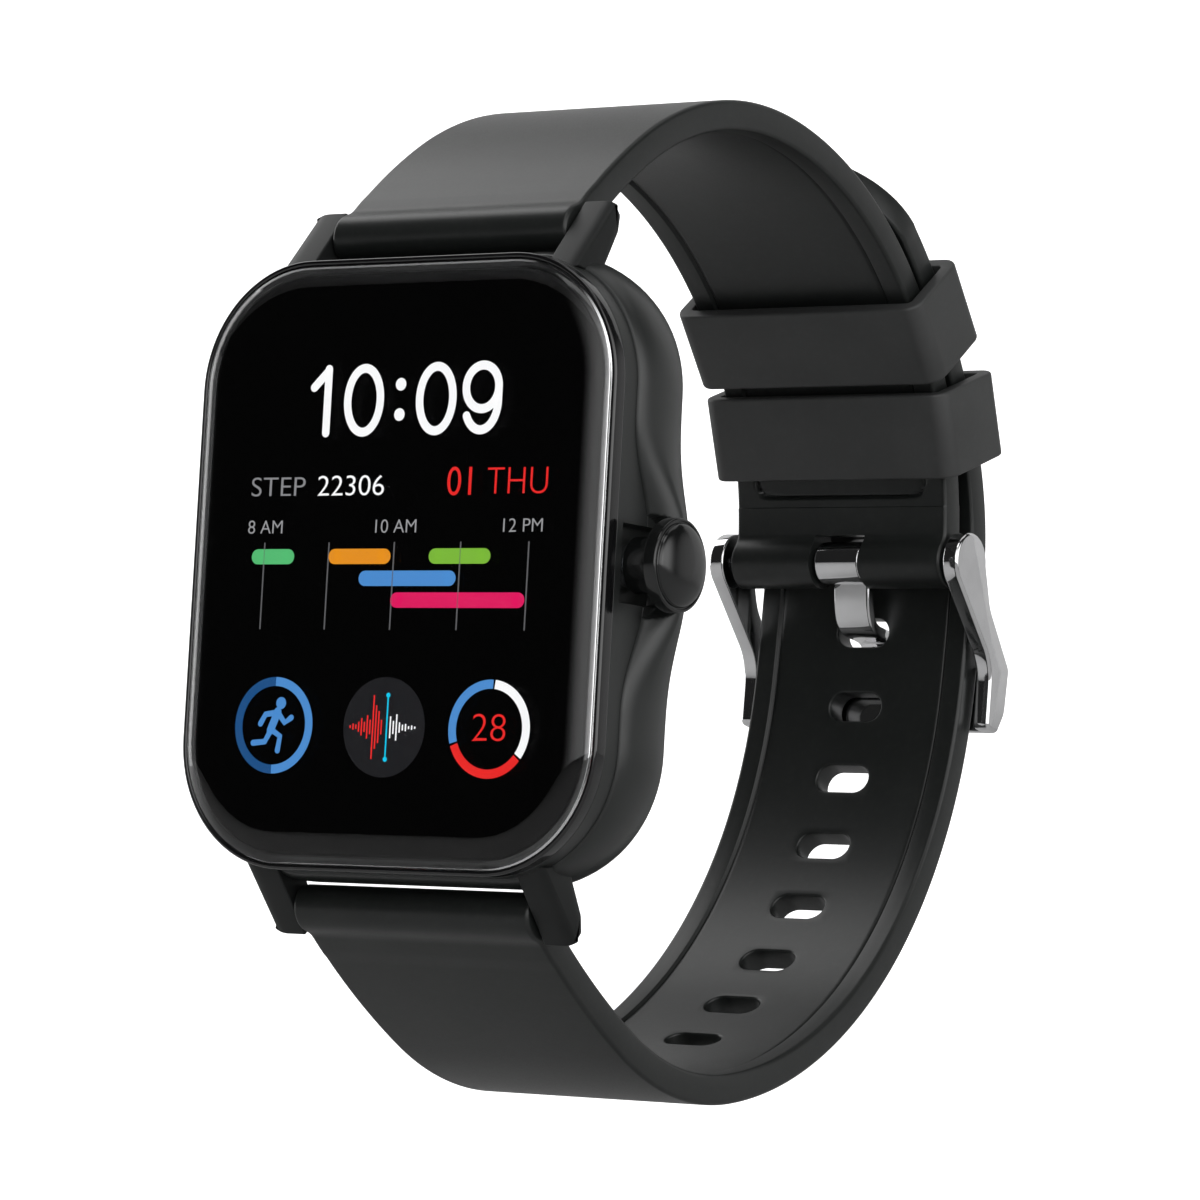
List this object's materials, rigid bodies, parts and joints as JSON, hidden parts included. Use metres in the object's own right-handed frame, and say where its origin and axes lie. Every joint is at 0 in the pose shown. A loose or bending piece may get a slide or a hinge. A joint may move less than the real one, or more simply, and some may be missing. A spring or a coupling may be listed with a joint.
{
  "type": "smartwatch",
  "caption": "Rectangular smartwatch with a push crown and a buckled two-piece silicone strap that has a pin buckle and two keeper loops.",
  "frame": {"origin": "centre of the rear cover's flat face", "axes": "+X to 3 o'clock, towards the crown; +Y back from the display into the wrist; +Z to 12 o'clock"},
  "size_m": [0.0399, 0.0675, 0.0725],
  "materials": {
    "case_metal": "satin dark grey coating",
    "gloss_black": "polished black",
    "glass": "polished, with a black printed border",
    "gasket": "matte black",
    "display": "lit display face",
    "flex": "amber film with copper tracks",
    "steel": "bright",
    "foil": "silver laminated pouch",
    "lead_red": "insulated wire",
    "board": "green solder mask",
    "black_plastic": "moulded",
    "white_plastic": "moulded",
    "led": "clear green epoxy",
    "sensor_dark": "dark epoxy",
    "sensor_glass": "smoked, polished",
    "rear_plastic": "polished black",
    "gold": "gold plated",
    "magnet": "nickel plated",
    "silicone": "matte silicone, near black",
    "chrome": "polished"
  },
  "bodies": {
    "case": {"mid_frame": "case_metal", "bezel_ring": "gloss_black", "cover_glass": "glass", "glass_gasket": "gasket", "display_panel": "display", "display_flex": "flex", "inner_chassis": "steel", "battery": "foil", "battery_lead": "lead_red", "main_board": "board", "shield_cans": "steel", "antenna": "flex", "vibration_motor": "steel", "side_switch": "black_plastic", "sensor_board": "board", "sensor_flex": "flex", "sensor_leds": "led", "photodiode": "sensor_dark", "light_barrier": "gasket", "sensor_window": "sensor_glass", "rear_cover": "rear_plastic", "rear_gasket": "gasket", "rear_screws": "steel", "charging_contacts": "gold", "charging_magnets": "magnet", "crown_bushing": "steel", "crown_seal": "gasket", "crown_spring": "steel", "top_bar_tube": "steel", "top_bar_spring": "steel", "bottom_bar_tube": "steel", "bottom_bar_spring": "steel"},
    "crown_slider": {"switch_plunger": "white_plastic"},
    "crown": {"crown_cap": "case_metal", "crown_stem": "steel", "crown_clip": "steel", "crown_encoder": "black_plastic"},
    "top_pin_left": {"top_bar_pin_left": "steel"},
    "top_pin_right": {"top_bar_pin_right": "steel"},
    "bottom_pin_left": {"bottom_bar_pin_left": "steel"},
    "bottom_pin_right": {"bottom_bar_pin_right": "steel"},
    "buckle_pin_left": {"buckle_bar_pin_left": "steel"},
    "buckle_pin_right": {"buckle_bar_pin_right": "steel"},
    "short_strap": {"strap_short": "silicone"},
    "long_strap": {"strap_long": "silicone"},
    "upper_keeper": {"keeper_upper": "silicone"},
    "lower_keeper": {"keeper_lower": "silicone"},
    "buckle": {"buckle_frame": "chrome", "buckle_bar_tube": "steel", "buckle_bar_spring": "steel"},
    "tongue": {"buckle_tongue": "chrome"}
  },
  "joints": [
    {"name": "crown_press", "type": "slide", "parent": "case", "child": "crown_slider", "axis": [-1, 0, 0], "range_m": [0, 0.0006], "stiffness_N_per_m": 2000, "springref_m": -0.0003},
    {"name": "crown_turn", "type": "hinge", "parent": "crown_slider", "child": "crown", "pos_m": [0.0195, -0.0055, 0.0002], "axis": [1, 0, 0], "continuous": true},
    {"name": "short_strap_swing", "type": "hinge", "parent": "case", "child": "short_strap", "pos_m": [0, -0.0039, 0.0237], "axis": [1, 0, 0], "range_deg": [-0.25, 0.25]},
    {"name": "long_strap_swing", "type": "hinge", "parent": "case", "child": "long_strap", "pos_m": [0, -0.0039, -0.0237], "axis": [1, 0, 0], "range_deg": [-0.25, 0.25]},
    {"name": "upper_keeper_slide", "type": "hinge", "parent": "short_strap", "child": "upper_keeper", "pos_m": [0, 0.01929, 0.0038], "axis": [1, 0, 0], "range_deg": [0, 3.64]},
    {"name": "lower_keeper_slide", "type": "hinge", "parent": "short_strap", "child": "lower_keeper", "pos_m": [0, 0.02332, 0.0069], "axis": [1, 0, 0], "range_deg": [-1.3, 1.74]},
    {"name": "buckle_swing", "type": "hinge", "parent": "short_strap", "child": "buckle", "pos_m": [0, 0.0497, 0.00598], "axis": [1, 0, 0], "range_deg": [0, 3]},
    {"name": "tongue_swing", "type": "hinge", "parent": "buckle", "child": "tongue", "pos_m": [0, 0.0497, 0.00598], "axis": [1, 0, 0], "range_deg": [0, 4]},
    {"name": "top_left_pin", "type": "slide", "parent": "case", "child": "top_pin_left", "axis": [1, 0, 0], "range_m": [0, 0.001], "stiffness_N_per_m": 300, "springref_m": -0.001},
    {"name": "top_right_pin", "type": "slide", "parent": "case", "child": "top_pin_right", "axis": [-1, 0, 0], "range_m": [0, 0.001], "stiffness_N_per_m": 300, "springref_m": -0.001},
    {"name": "bottom_left_pin", "type": "slide", "parent": "case", "child": "bottom_pin_left", "axis": [1, 0, 0], "range_m": [0, 0.001], "stiffness_N_per_m": 300, "springref_m": -0.001},
    {"name": "bottom_right_pin", "type": "slide", "parent": "case", "child": "bottom_pin_right", "axis": [-1, 0, 0], "range_m": [0, 0.001], "stiffness_N_per_m": 300, "springref_m": -0.001},
    {"name": "buckle_left_pin", "type": "slide", "parent": "buckle", "child": "buckle_pin_left", "axis": [1, 0, 0], "range_m": [0, 0.001], "stiffness_N_per_m": 300, "springref_m": -0.001},
    {"name": "buckle_right_pin", "type": "slide", "parent": "buckle", "child": "buckle_pin_right", "axis": [-1, 0, 0], "range_m": [0, 0.001], "stiffness_N_per_m": 300, "springref_m": -0.001}
  ]
}
